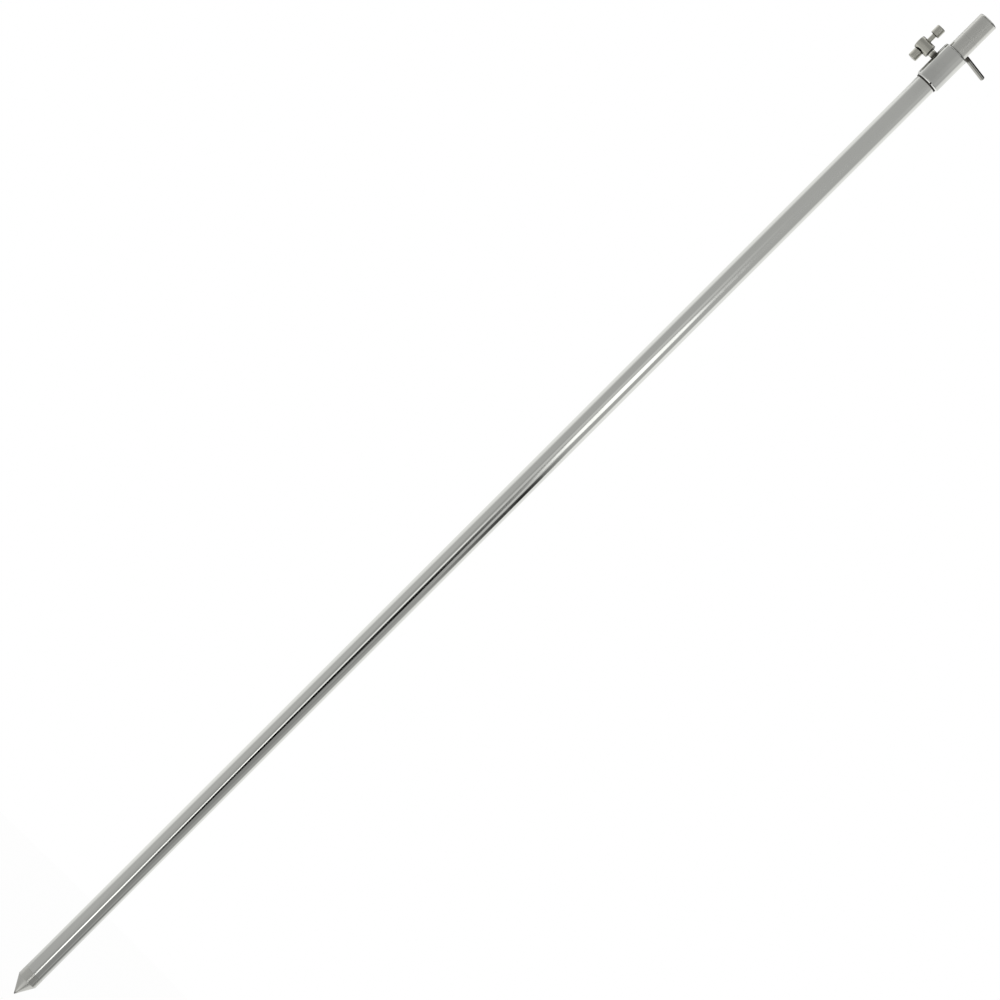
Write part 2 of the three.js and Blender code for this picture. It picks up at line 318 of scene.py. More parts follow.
def addFloor(values):
    shape = bmesh.new()
    bmesh.ops.create_circle(shape, cap_ends=True, segments=values["facets"], radius=values["radius"] * mm)
    floor = addObject("paleFloor", meshFromShape("paleFloor", shape))
    material, tree = startMaterial("floorPaper")
    paper = addNode(tree, "ShaderNodeBsdfDiffuse", {"Color": values["colour"]})
    white = addNode(tree, "ShaderNodeEmission", {"Color": (1, 1, 1, 1), "Strength": values["white"]})
    path = addNode(tree, "ShaderNodeLightPath").outputs
    share = calculate(tree, "MULTIPLY", seenDirectly(tree, path), values["whiteShare"])
    mixed = addNode(tree, "ShaderNodeMixShader", {0: share, 1: paper.outputs[0], 2: white.outputs[0]})
    clear = addNode(tree, "ShaderNodeBsdfTransparent")
    mirrored = path["Is Glossy Ray"]  # metal shows the studio behind the floor
    mixed = addNode(tree, "ShaderNodeMixShader", {0: mirrored, 1: mixed.outputs[0], 2: clear.outputs[0]})
    addNode(tree, "ShaderNodeOutputMaterial", {"Surface": mixed.outputs[0]})
    floor.data.materials.append(material)


addFloor(floorDisc)
print("stage: camera, studio, lamps and floor ready")


# Shader groups that several finishes share
def startGroup(name, inputs, outputs):
    tree = bpy.data.node_groups.new(name, "ShaderNodeTree")
    addSockets(tree, "INPUT", inputs)
    addSockets(tree, "OUTPUT", outputs)
    return tree, addNode(tree, "NodeGroupInput").outputs


def buildTurnedGrain():
    # fine rings left by a lathe, round the Z of the place that comes in
    tree, given = startGroup(
        "turnedGrain",
        [("Place", "Vector", None), ("Rings per Metre", "Float", 4000.0), ("Wander", "Float", 0.3)],
        [("Grain", "Float", None)],
    )
    parts = addNode(tree, "ShaderNodeSeparateXYZ", {0: given["Place"]}).outputs
    squareX = calculate(tree, "MULTIPLY", parts["X"], parts["X"])
    squareSum = calculate(tree, "MULTIPLY_ADD", parts["Y"], parts["Y"], squareX)
    radius = calculate(tree, "SQRT", squareSum)
    wide = addNode(tree, "ShaderNodeTexNoise", {"Vector": given["Place"], "Scale": 160.0, "Detail": 1.0})
    drift = calculate(tree, "MULTIPLY", wide.outputs[0], given["Wander"])
    height = calculate(tree, "MULTIPLY_ADD", parts["Z"], given["Rings per Metre"], drift)
    across = calculate(tree, "MULTIPLY_ADD", radius, given["Rings per Metre"], drift)
    place = addNode(tree, "ShaderNodeCombineXYZ", {"X": across, "Z": height})
    rings = addNode(tree, "ShaderNodeTexNoise", {"Vector": place.outputs[0], "Scale": 1.0, "Detail": 3.0})
    addNode(tree, "NodeGroupOutput", {"Grain": rings.outputs[0]})
    return tree


def buildDrawnGrain():
    # fine lines along a drawn tube
    tree, given = startGroup(
        "drawnGrain",
        [("Place", "Vector", None), ("Lines per Metre", "Float", 2600.0), ("Line Length", "Float", 0.06)],
        [("Grain", "Float", None)],
    )
    parts = addNode(tree, "ShaderNodeSeparateXYZ", {0: given["Place"]}).outputs
    x = calculate(tree, "MULTIPLY", parts["X"], given["Lines per Metre"])
    y = calculate(tree, "MULTIPLY", parts["Y"], given["Lines per Metre"])
    z = calculate(tree, "DIVIDE", parts["Z"], given["Line Length"])
    place = addNode(tree, "ShaderNodeCombineXYZ", {"X": x, "Y": y, "Z": z})
    lines = addNode(tree, "ShaderNodeTexNoise", {"Vector": place.outputs[0], "Scale": 1.0, "Detail": 3.0})
    addNode(tree, "NodeGroupOutput", {"Grain": lines.outputs[0]})
    return tree


def buildHandling():
    # broad, faint smears from handling
    tree, given = startGroup(
        "handling",
        [("Place", "Vector", None), ("Patches per Metre", "Float", 55.0)],
        [("Smear", "Float", None)],
    )
    cloud = addNode(
        tree, "ShaderNodeTexNoise",
        {"Vector": given["Place"], "Scale": given["Patches per Metre"], "Detail": 4.0, "Roughness": 0.6},
    )
    smear = addNode(tree, "ShaderNodeMapRange", {0: cloud.outputs[0], 1: 0.42, 2: 0.68})
    smear.interpolation_type = "SMOOTHSTEP"
    addNode(tree, "NodeGroupOutput", {"Smear": smear.outputs[0]})
    return tree


def buildCreviceShading():
    # painted shade: darker and rougher where two faces come close, from ambient occlusion
    tree, given = startGroup(
        "creviceShading",
        [("Reach", "Float", 0.002), ("Clear", "Float", 0.16), ("Full", "Float", 0.62)],
        [("Painted Shade", "Float", None)],
    )
    around = addNode(tree, "ShaderNodeAmbientOcclusion", {"Distance": given["Reach"]}, samples=8)
    hidden = calculate(tree, "SUBTRACT", 1.0, around.outputs["AO"])
    paintedShade = addNode(tree, "ShaderNodeMapRange", {0: hidden, 1: given["Clear"], 2: given["Full"]})
    paintedShade.interpolation_type = "SMOOTHSTEP"
    addNode(tree, "NodeGroupOutput", {"Painted Shade": paintedShade.outputs[0]})
    return tree


def buildShadeBelt():
    # how far a place lies between two heights, from 0 at the first to 1 at the second
    tree, given = startGroup(
        "shadeBelt",
        [
            ("Place", "Vector", None), ("From", "Float", 0.0), ("To", "Float", 1.0),
            ("Patches per Metre", "Float", 300.0), ("Sway", "Float", 0.6),
        ],
        [("Share", "Float", None)],
    )
    height = addNode(tree, "ShaderNodeSeparateXYZ", {0: given["Place"]}).outputs["Z"]
    cloud = addNode(
        tree, "ShaderNodeTexNoise",
        {"Vector": given["Place"], "Scale": given["Patches per Metre"], "Detail": 3.0},
    )
    span = calculate(tree, "SUBTRACT", given["To"], given["From"])
    sway = calculate(tree, "MULTIPLY", calculate(tree, "SUBTRACT", cloud.outputs[0], 0.5), span)
    swayed = calculate(tree, "MULTIPLY_ADD", sway, given["Sway"], height)
    share = addNode(tree, "ShaderNodeMapRange", {0: swayed, 1: given["From"], 2: given["To"]})
    share.interpolation_type = "SMOOTHSTEP"
    addNode(tree, "NodeGroupOutput", {"Share": share.outputs[0]})
    return tree


handling = buildHandling()
creviceShading = buildCreviceShading()
shadeBelt = buildShadeBelt()
grains = {
    "drawn": (buildDrawnGrain(), "Lines per Metre", "Line Length"),
    "turned": (buildTurnedGrain(), "Rings per Metre", "Wander"),
}
# colour and roughness of the shade painted into crevices, and the grain's bump depth
shadeAndGrain = {"paintedShade": (0.035, 0.031, 0.026, 1.0), "paintedShadeRough": 0.3, "grainDepth": 0.02}

screwHeight = 930.35
tommyX = -20.1
pinHeight = 945.85
pinTurn = 52.0  # degrees from +X towards +Y, and so to the back right

alongStick = {"axis": (0, 0, 1), "centre": (0, 0, 0)}
alongTommy = {"axis": (0, 0, 1), "centre": (tommyX * mm, 0, 0)}
alongScrew = {"axis": (-1, 0, 0), "centre": (0, 0, screwHeight * mm)}
alongPin = {
    "axis": (math.cos(math.radians(pinTurn)), math.sin(math.radians(pinTurn)), 0),
    "centre": (0, 0, pinHeight * mm),
}
satinSteel = {
    "light": (0.595, 0.595, 0.570), "dark": (0.550, 0.550, 0.525), "rough": 0.13, "grainRough": 0.06,
    "smearRough": 0.03, "bump": 0.06,
}
clampSteel = {
    "light": (0.560, 0.555, 0.505), "dark": (0.490, 0.485, 0.435), "rough": 0.25, "grainRough": 0.10,
    "smearRough": 0.05, "bump": 0.12, "group": "turned", "density": 4600.0, "spread": 0.3,
}

# Finishes of the steel, with the axis and the centre of what was turned or drawn. A belt goes over to
# its own tone between two heights, in metres along that axis, and adds to the roughness.
# paintedShade, where given, scales the shade painted into crevices
steelFinishes = {
    "polishedTube": {
        **alongStick, "light": (0.640, 0.645, 0.625), "dark": (0.600, 0.606, 0.585), "rough": 0.04,
        "grainRough": 0.02, "smearRough": 0.02, "bump": 0.03, "group": "drawn", "density": 2600.0,
        "spread": 0.06,
    },
    "polishedCollar": {
        **alongStick, "light": (0.620, 0.625, 0.605), "dark": (0.585, 0.590, 0.570), "rough": 0.025,
        "grainRough": 0.02, "smearRough": 0.03, "bump": 0.02, "group": "turned", "density": 5200.0,
        "spread": 0.3, "paintedShade": 2.4,
        "belts": [
            # painted shade: the collar goes darker towards its foot
            {"from": 0.936, "to": 0.914, "tone": (0.535, 0.540, 0.525), "rough": 0.0},
            # painted highlight: a thin bright ring on the foot's round
            {"from": 0.9138, "to": 0.9132, "tone": (0.90, 0.90, 0.88), "rough": 0.05},
        ],
    },
    "satinTube": {
        **alongStick, **satinSteel, "group": "drawn", "density": 2200.0, "spread": 0.02, "paintedShade": 3.0,
    },
    "satinHead": {**alongStick, **satinSteel, "group": "turned", "density": 5200.0, "spread": 0.3},
    "turnedPoint": {
        **alongStick, "light": (0.590, 0.590, 0.565), "dark": (0.530, 0.530, 0.505), "rough": 0.12,
        "grainRough": 0.06, "smearRough": 0.05, "bump": 0.06, "group": "turned", "density": 4200.0,
        "spread": 0.3, "paintedShade": 0.3,
        "belts": [{"from": 0.0035, "to": 0.0006, "tone": (0.24, 0.24, 0.23), "rough": 0.1}],
    },
    "turnedScrew": {
        **alongScrew, **clampSteel,
        "belts": [
            # painted shade: a dark ring on the shoulder just under the head; the next belt goes back to the
            # plain tone
            {"from": 0.01385, "to": 0.0136, "tone": (0.09, 0.085, 0.075), "rough": 0.2},
            {"from": 0.01335, "to": 0.0131, "tone": (0.53, 0.53, 0.48), "rough": -0.2},
        ],
    },
    "bossShadeAndGlint": {
        **alongScrew, **clampSteel, "paintedShade": 0.3,
        "belts": [
            # painted shade: the boss darkens towards its root at the collar
            {"from": 0.0120, "to": 0.0098, "tone": (0.10, 0.095, 0.085), "rough": 0.2},
            # painted highlight: a bright ring at the boss's top edge
            {"from": 0.0121, "to": 0.0124, "tone": (0.90, 0.89, 0.84), "rough": -0.1},
        ],
    },
    "turnedKnob": {**alongTommy, **clampSteel},
    # painted shade: the knob's face towards the screw head, dark as in the narrow gap there
    "knobGapShade": {
        **alongTommy, **clampSteel, "light": (0.150, 0.145, 0.130), "dark": (0.090, 0.086, 0.075),
        "rough": 0.35, "grainRough": 0.15, "bump": 0.15,
    },
    "groundPin": {
        **alongPin, "light": (0.460, 0.460, 0.435), "dark": (0.380, 0.380, 0.355), "rough": 0.08,
        "grainRough": 0.06, "smearRough": 0.05, "bump": 0.06, "group": "turned", "density": 3600.0,
        "spread": 0.3, "paintedShade": 1.5,
        # painted shade: the pin darkens towards its root at the tube
        "belts": [{"from": 0.0144, "to": 0.0120, "tone": (0.09, 0.085, 0.075), "rough": 0.2}],
    },
    "turnedBrass": {
        **alongScrew, **clampSteel, "light": (0.66, 0.49, 0.22), "dark": (0.56, 0.40, 0.16),
        "rough": 0.28, "smearRough": 0.06, "bump": 0.10,
    },
}


def tone(colour):
    return (*colour, 1.0)


def steelMaterial(name, values):
    material, tree = startMaterial(name)
    objectPlace = addNode(tree, "ShaderNodeTexCoord").outputs["Object"]
    turn = Vector(values["axis"]).rotation_difference(Vector((0, 0, 1))).to_matrix()
    shift = turn @ -Vector(values["centre"])
    mapping = addNode(
        tree, "ShaderNodeMapping",
        {"Vector": objectPlace, "Location": shift, "Rotation": turn.to_euler()},
    )
    place = mapping.outputs[0]
    grainTree, densityName, spreadName = grains[values["group"]]
    sizes = {"Place": place, densityName: values["density"], spreadName: values["spread"]}
    grain = addNode(tree, "ShaderNodeGroup", sizes, node_tree=grainTree).outputs["Grain"]
    smear = addNode(tree, "ShaderNodeGroup", {"Place": place}, node_tree=handling).outputs["Smear"]
    colour = mixColour(tree, grain, tone(values["dark"]), tone(values["light"]))
    rough = calculate(tree, "MULTIPLY_ADD", grain, values["grainRough"], values["rough"])
    rough = calculate(tree, "MULTIPLY_ADD", smear, values["smearRough"], rough)
    for belt in values.get("belts", []):
        heights = {"Place": place, "From": belt["from"], "To": belt["to"]}
        share = addNode(tree, "ShaderNodeGroup", heights, node_tree=shadeBelt).outputs["Share"]
        colour = mixColour(tree, share, colour, tone(belt["tone"]))
        rough = calculate(tree, "MULTIPLY_ADD", share, belt["rough"], rough)
    # painted shade: crevices darkened through ambient occlusion
    paintedShade = addNode(tree, "ShaderNodeGroup", node_tree=creviceShading).outputs["Painted Shade"]
    paintedShade = calculate(tree, "MULTIPLY", paintedShade, values.get("paintedShade", 1.0))
    colour = mixColour(tree, paintedShade, colour, shadeAndGrain["paintedShade"])
    rough = calculate(tree, "MULTIPLY_ADD", paintedShade, shadeAndGrain["paintedShadeRough"], rough)
    depth = shadeAndGrain["grainDepth"] * mm
    bump = addNode(tree, "ShaderNodeBump", {"Strength": values["bump"], "Distance": depth, "Height": grain})
    shader = addNode(
        tree, "ShaderNodeBsdfPrincipled",
        {"Base Color": colour, "Roughness": rough, "Normal": bump.outputs[0], "Metallic": 1.0},
    )
    addNode(tree, "ShaderNodeOutputMaterial", {"Surface": shader.outputs[0]})
    return material


finishes = {name: steelMaterial(name, values) for name, values in steelFinishes.items()}

plainFinishes = {
    "blackNylon": {
        "light": (0.030, 0.030, 0.032), "dark": (0.016, 0.016, 0.018), "rough": (0.42, 0.60),
        "grain": 900.0, "bump": 0.25, "depth": 0.05,
    },
    # finish of the dark ring of painted shade at the collar's foot
    "shadeRingBlack": {
        "light": (0.050, 0.044, 0.036), "dark": (0.012, 0.011, 0.010), "rough": (0.45, 0.75),
        "grain": 1500.0, "bump": 0.25, "depth": 0.05,
    },
}


def plainMaterial(name, values):
    material, tree = startMaterial(name)
    place = addNode(tree, "ShaderNodeTexCoord").outputs["Object"]
    cloud = addNode(tree, "ShaderNodeTexNoise", {"Vector": place, "Scale": values["grain"], "Detail": 4.0})
    grain = cloud.outputs[0]
    colour = mixColour(tree, grain, tone(values["dark"]), tone(values["light"]))
    low, high = values["rough"]
    rough = calculate(tree, "MULTIPLY_ADD", grain, high - low, low)
    depth = values["depth"] * mm
    bump = addNode(tree, "ShaderNodeBump", {"Strength": values["bump"], "Distance": depth, "Height": grain})
    shader = addNode(
        tree, "ShaderNodeBsdfPrincipled",
        {"Base Color": colour, "Roughness": rough, "Normal": bump.outputs[0]},
    )
    addNode(tree, "ShaderNodeOutputMaterial", {"Surface": shader.outputs[0]})
    return material


for plainName, plainValues in plainFinishes.items():
    finishes[plainName] = plainMaterial(plainName, plainValues)
print("stage: finishes ready")


# Geometry Nodes: a section of radii and heights turned round the Z axis
def startGeometry(name, inputs, result):
    tree = bpy.data.node_groups.new(name, "GeometryNodeTree")
    addSockets(tree, "INPUT", inputs)
    addSockets(tree, "OUTPUT", [(result, "Geometry", None)])
    return tree, addNode(tree, "NodeGroupInput").outputs


def finishGeometry(tree, mesh, weld, finish, result):
    welded = addNode(tree, "GeometryNodeMergeByDistance", {"Geometry": mesh, "Distance": weld})
    real = addNode(tree, "GeometryNodeRealizeInstances", {"Geometry": welded.outputs[0]})
    dressed = addNode(tree, "GeometryNodeSetMaterial", {"Geometry": real.outputs[0], "Material": finish})
    addNode(tree, "NodeGroupOutput", {result: dressed.outputs[0]})


def polarPlace(tree, radius, angle, height):
    x = calculate(tree, "MULTIPLY", radius, calculate(tree, "COSINE", angle))
    y = calculate(tree, "MULTIPLY", radius, calculate(tree, "SINE", angle))
    return addNode(tree, "ShaderNodeCombineXYZ", {"X": x, "Y": y, "Z": height}).outputs[0]


def splitIndex(tree, rows):
    index = addNode(tree, "GeometryNodeInputIndex").outputs[0]
    row = calculate(tree, "MODULO", index, rows)
    column = calculate(tree, "FLOOR", calculate(tree, "DIVIDE", index, rows))
    return row, column


def buildTurnSection():
    tree, given = startGeometry(
        "turnSection",
        [
            ("Section", "Geometry", None), ("Facets", "Int", 96),
            ("Weld Distance", "Float", 1e-7), ("Finish", "Material", None),
        ],
        "Turned Piece",
    )
    size = addNode(tree, "GeometryNodeAttributeDomainSize", {"Geometry": given["Section"]}, component="MESH")
    rows = size.outputs["Point Count"]
    columns = calculate(tree, "ADD", given["Facets"], 1.0)
    grid = addNode(tree, "GeometryNodeMeshGrid", {"Vertices X": columns, "Vertices Y": rows})
    row, column = splitIndex(tree, rows)
    position = addNode(tree, "GeometryNodeInputPosition").outputs[0]
    sample = addNode(
        tree, "GeometryNodeSampleIndex", {"Geometry": given["Section"], "Value": position, "Index": row},
        data_type="FLOAT_VECTOR", domain="POINT",
    )
    parts = addNode(tree, "ShaderNodeSeparateXYZ", {0: sample.outputs[0]}).outputs
    step = calculate(tree, "DIVIDE", 2 * math.pi, given["Facets"])
    angle = calculate(tree, "MULTIPLY", column, step)
    place = polarPlace(tree, parts["X"], angle, parts["Z"])
    moved = addNode(tree, "GeometryNodeSetPosition", {"Geometry": grid.outputs["Mesh"], "Position": place})
    finishGeometry(tree, moved.outputs[0], given["Weld Distance"], given["Finish"], "Turned Piece")
    return tree


def buildThreadRidge():
    # One closed ridge along a helix, run out to nothing at both ends. Its grid has five rows: lower foot,
    # lower crest, upper crest, upper foot, and the lower foot again, to close it.
    tree, given = startGeometry(
        "threadRidge",
        [
            ("Start", "Geometry", None), ("Wall Radius", "Float", 0.004), ("Crest Radius", "Float", 0.0035),
            ("Sink", "Float", 0.0001), ("Pitch", "Float", 0.001), ("Turns", "Float", 4.0),
            ("Foot", "Float", 0.0), ("Root Width", "Float", 0.0009), ("Crest Width", "Float", 0.0002),
            ("Run Out", "Float", 0.5), ("Facets per Turn", "Int", 48), ("Weld Distance", "Float", 1e-7),
            ("Finish", "Material", None),
        ],
        "Thread",
    )
    steps = calculate(tree, "CEIL", calculate(tree, "MULTIPLY", given["Facets per Turn"], given["Turns"]))
    columns = calculate(tree, "ADD", steps, 1.0)
    grid = addNode(tree, "GeometryNodeMeshGrid", {"Vertices X": columns, "Vertices Y": 5})
    row, column = splitIndex(tree, 5.0)
    share = calculate(tree, "DIVIDE", column, steps)
    fromEnd = calculate(tree, "MINIMUM", share, calculate(tree, "SUBTRACT", 1.0, share))
    turnsIn = calculate(tree, "MULTIPLY", fromEnd, given["Turns"])
    fade = calculate(tree, "MINIMUM", calculate(tree, "DIVIDE", turnsIn, given["Run Out"]), 1.0)
    onCrest = calculate(tree, "COMPARE", row, 1.5, 0.6)  # rows 1 and 2
    onTop = calculate(tree, "COMPARE", row, 2.5, 0.6)  # rows 2 and 3
    side = calculate(tree, "MULTIPLY_ADD", onTop, 2.0, -1.0)
    depth = calculate(tree, "SUBTRACT", given["Crest Radius"], given["Wall Radius"])
    sink = calculate(tree, "MULTIPLY", calculate(tree, "SIGN", depth), given["Sink"])
    reach = calculate(tree, "MULTIPLY", onCrest, calculate(tree, "ADD", depth, sink))
    reach = calculate(tree, "MULTIPLY", reach, fade)
    wall = calculate(tree, "SUBTRACT", given["Wall Radius"], sink)
    radius = calculate(tree, "ADD", wall, reach)
    narrower = calculate(tree, "SUBTRACT", given["Crest Width"], given["Root Width"])
    width = calculate(tree, "MULTIPLY_ADD", onCrest, narrower, given["Root Width"])
    lean = calculate(tree, "MULTIPLY", calculate(tree, "MULTIPLY", width, side), 0.5)
    lean = calculate(tree, "MULTIPLY", lean, fade)
    climb = calculate(tree, "MULTIPLY", calculate(tree, "MULTIPLY", share, given["Turns"]), given["Pitch"])
    height = calculate(tree, "ADD", calculate(tree, "ADD", given["Foot"], climb), lean)
    fullTurn = calculate(tree, "MULTIPLY", given["Turns"], 2 * math.pi)
    angle = calculate(tree, "MULTIPLY", share, fullTurn)
    place = polarPlace(tree, radius, angle, height)
    moved = addNode(tree, "GeometryNodeSetPosition", {"Geometry": grid.outputs["Mesh"], "Position": place})
    finishGeometry(tree, moved.outputs[0], given["Weld Distance"], given["Finish"], "Thread")
    return tree


turnSection = buildTurnSection()
threadRidge = buildThreadRidge()


# Sections. A ring beside each round keeps the long face's shading straight.
guardRing = {"away": 0.35, "room": 2.5}  # in sizes of the round, and in widths of the first


def roundedCorner(before, corner, after, size, steps=5):
    toBefore = (before - corner).normalized()
    toAfter = (after - corner).normalized()
    half = toBefore.angle(toAfter) / 2
    reach = size / math.tan(half)
    centre = corner + (toBefore + toAfter).normalized() * (size / math.sin(half))
    first = corner + toBefore * reach - centre
    last = corner + toAfter * reach - centre
    sweep = first.angle(last)
    spots = []
    for i in range(steps + 1):
        ofFirst = math.sin(sweep * (1 - i / steps))
        ofLast = math.sin(sweep * i / steps)
        spots.append(centre + (first * ofFirst + last * ofLast) / math.sin(sweep))
    guard = guardRing["away"] * size
    if (before - corner).length - reach > guardRing["room"] * guard:
        spots.insert(0, corner + toBefore * (reach + guard))
    if (after - corner).length - reach > guardRing["room"] * guard:
        spots.append(corner + toAfter * (reach + guard))
    return spots


def sectionPoints(corners, closed):
    # each corner is a radius, a height and the size of its round, or 0 for a sharp one
    spots = []
    for i, (radius, height, size) in enumerate(corners):
        corner = Vector((radius, height))
        inside = closed or 0 < i < len(corners) - 1
        if size and inside:
            before = Vector(corners[i - 1][:2])
            after = Vector(corners[(i + 1) % len(corners)][:2])
            spots += roundedCorner(before, corner, after, size)
        else:
            spots.append(corner)
    if closed:
        spots.append(spots[0].copy())
    return spots


def evaluatedMesh(holder):
    bpy.context.view_layer.update()
    depsgraph = bpy.context.evaluated_depsgraph_get()
    return bpy.data.meshes.new_from_object(holder.evaluated_get(depsgraph))


def meshFromTree(name, seed, tree, inputs):
    holder = addObject(name, seed)
    modifier = holder.modifiers.new(tree.name, "NODES")
    modifier.node_group = tree
    for key, value in inputs.items():
        setInput(modifier, key, value)
    mesh = evaluatedMesh(holder)
    holder.modifiers.remove(modifier)
    bpy.data.objects.remove(holder)
    mesh.name = name
    return mesh


def faceOut(mesh):
    shape = bmesh.new()
    shape.from_mesh(mesh)
    bmesh.ops.recalc_face_normals(shape, faces=shape.faces)
    shape.to_mesh(mesh)
    shape.free()


def turnedMesh(name, corners, finish, closed=False, facets=96):
    line = bpy.data.meshes.new(name + "Section")
    spots = [Vector((p.x * mm, 0, p.y * mm)) for p in sectionPoints(corners, closed)]
    line.from_pydata(spots, [(i, i + 1) for i in range(len(spots) - 1)], [])
    mesh = meshFromTree(name, line, turnSection, {"Facets": facets, "Finish": finishes[finish]})
    faceOut(mesh)
    return mesh


def threadMesh(name, values, finish):
    counts = ("Turns", "Run Out", "Facets per Turn")  # all others are lengths
    inputs = {key: value if key in counts else value * mm for key, value in values.items()}
    inputs["Finish"] = finishes[finish]
    mesh = meshFromTree(name, bpy.data.meshes.new(name + "Start"), threadRidge, inputs)
    faceOut(mesh)
    return mesh


def joinMeshes(name, meshes):
    shape = bmesh.new()
    for mesh in meshes:
        shape.from_mesh(mesh)
    joined = meshFromShape(name, shape)
    for material in meshes[0].materials:
        joined.materials.append(material)
    return joined


def cutMesh(mesh, cutters):
    body = addObject("cutBody", mesh)
    tools = []
    for cutter in cutters:
        tool = addObject("cutTool", cutter)
        modifier = body.modifiers.new("cut", "BOOLEAN")
        modifier.operation = "DIFFERENCE"
        modifier.solver = "EXACT"
        modifier.object = tool
        tools.append(tool)
    result = evaluatedMesh(body)
    for used in [body, *tools]:
        bpy.data.objects.remove(used)
    return result


def addPiece(name, mesh, body, nodes, sharp=32):
    mesh.name = name
    for face in mesh.polygons:
        face.use_smooth = True
    mesh.set_sharp_from_angle(angle=math.radians(sharp))
    piece = addObject(name, mesh)
    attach(piece, body)
    if nodes:
        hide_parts(*nodes)
    print("piece:", name, len(mesh.polygons), "faces")


# Point
pointSize = {
    "tip": 0.35, "cone": 13.4, "radius": 8.0, "shoulder": 20.94, "spigot": 7.57, "top": 45.9,
    "coneRound": 0.35, "shoulderRound": 0.06, "spigotRound": 0.2, "spigotChamfer": 1,
}


def makePoint(size):
    tip = size["tip"]
    coneTurn = math.atan2(size["cone"], size["radius"])
    steps = 6
    nose = [
        (tip * math.sin(coneTurn * i / steps), tip - tip * math.cos(coneTurn * i / steps), 0)
        for i in range(steps + 1)
    ]
    corners = nose + [
        (size["radius"], size["cone"], size["coneRound"]),
        (size["radius"], size["shoulder"], size["shoulderRound"]),
        (size["spigot"], size["shoulder"], 0),
        (size["spigot"], size["top"] - size["spigotChamfer"], size["spigotRound"]),
        (size["spigot"] - size["spigotChamfer"], size["top"], size["spigotRound"]),
        (0, size["top"], 0),
    ]
    mesh = turnedMesh("groundPoint", corners, "turnedPoint", facets=160)
    addPiece("groundPoint", mesh, "stake", ["spike_point"])


makePoint(pointSize)

# Tubes and drilled holes. A tube's rounds go from its foot's bore edge outwards and up to its top's
# bore edge, and its rings keep a drilled hole's faces short.
drillLength = 12


def tubeMesh(name, size, finish):
    bore, radius = size["bore"], size["radius"]
    footBore, footEdge, topEdge, topBore = size["rounds"]
    corners = [
        (bore, size["foot"], footBore), (radius, size["foot"], footEdge),
        *((radius, height, 0) for height in size["outsideRings"]),
        (radius, size["top"], topEdge), (bore, size["top"], topBore),
        *((bore, height, 0) for height in size["insideRings"]),
    ]
    return turnedMesh(name, corners, finish, closed=True, facets=192)


def drillMesh(name, radius, finish):
    corners = [(0, 0, 0), (radius, 0, 0), (radius, drillLength, 0), (0, drillLength, 0)]
    return turnedMesh(name, corners, finish)


def layAlongScrew(mesh):
    towardsScrew = Matrix.Rotation(math.radians(-90), 4, "Y")  # brings +Z to -X
    mesh.transform(Matrix.Translation((0, 0, screwHeight * mm)) @ towardsScrew)
    return mesh


# Outer tube
outerSize = {
    "bore": 7.6, "radius": 8.0, "foot": 20.95, "top": 942.1, "rounds": (0.1, 0.06, 0.06, 0.1),
    "outsideRings": (915, 925, 935), "insideRings": (935, 925), "screwHole": 2.05,
}


def makeOuterTube(size):
    wall = tubeMesh("outerTube", size, "polishedTube")
    hole = layAlongScrew(drillMesh("screwHole", size["screwHole"], "polishedTube"))
    addPiece("outerTube", cutMesh(wall, [hole]), "stake", ["outer_tube"])


makeOuterTube(outerSize)

# Collar
collarSize = {
    "bore": 8.03, "radius": 9.75, "foot": 912.55, "top": 942.5, "topRound": 0.95, "boreRound": 0.12,
    "noseHeight": 1.4, "noseLip": 0.15, "noseSteps": 10, "noseRing": 0.4, "bossHole": 2.93,
    "notchWidth": 1.5, "notchHeight": 1.8, "notchTurn": 25.0, "notchSteps": 12, "notchNear": 6,
    "notchDepth": 6,
}


def notchMesh(size):
    # a round-topped slot, cut from the front towards the collar's wall and then turned to its place
    half = size["notchWidth"] / 2
    crown = size["foot"] + size["notchHeight"] - half
    outline = [(-half, size["foot"] - 1), (half, size["foot"] - 1)]
    for i in range(size["notchSteps"] + 1):
        angle = math.pi * i / size["notchSteps"]
        outline.append((half * math.cos(angle), crown + half * math.sin(angle)))
    shape = bmesh.new()
    near = [shape.verts.new(Vector((x, -size["notchNear"], z)) * mm) for x, z in outline]
    face = shape.faces.new(near)
    grown = bmesh.ops.extrude_face_region(shape, geom=[face])["geom"]
    moved = [item for item in grown if isinstance(item, bmesh.types.BMVert)]
    bmesh.ops.translate(shape, verts=moved, vec=Vector((0, -size["notchDepth"], 0)) * mm)
    bmesh.ops.recalc_face_normals(shape, faces=shape.faces)
    mesh = meshFromShape("collarNotch", shape)
    mesh.transform(Matrix.Rotation(math.radians(size["notchTurn"]), 4, "Z"))
    return mesh


def makeCollar(size):
    across = size["radius"] - size["bore"] - size["noseLip"]
    lip = size["bore"] + size["noseLip"]
    nose = []
    for i in range(size["noseSteps"] + 1):
        angle = math.pi / 2 * i / size["noseSteps"]
        risen = size["noseHeight"] * (1 - math.cos(angle))
        nose.append((lip + across * math.sin(angle), size["foot"] + risen, 0))
    corners = [
        (size["bore"], size["foot"], 0), *nose,
        (size["radius"], size["foot"] + size["noseHeight"] + size["noseRing"], 0),
        (size["radius"], size["top"], size["topRound"]), (size["bore"], size["top"], size["boreRound"]),
    ]
    sleeve = turnedMesh("clampCollar", corners, "polishedCollar", closed=True, facets=160)
    hole = layAlongScrew(drillMesh("bossHole", size["bossHole"], "polishedCollar"))
    mesh = cutMesh(sleeve, [hole, notchMesh(size)])
    addPiece("clampCollar", mesh, "stake", ["clamp_collar"])


makeCollar(collarSize)

# A dark ring where the collar's foot meets the tube: painted shade for the shadow gap under the foot
footShadeRing = {"tube": 7.99, "foot": 911.5, "top": 912.3, "reach": 8.45}


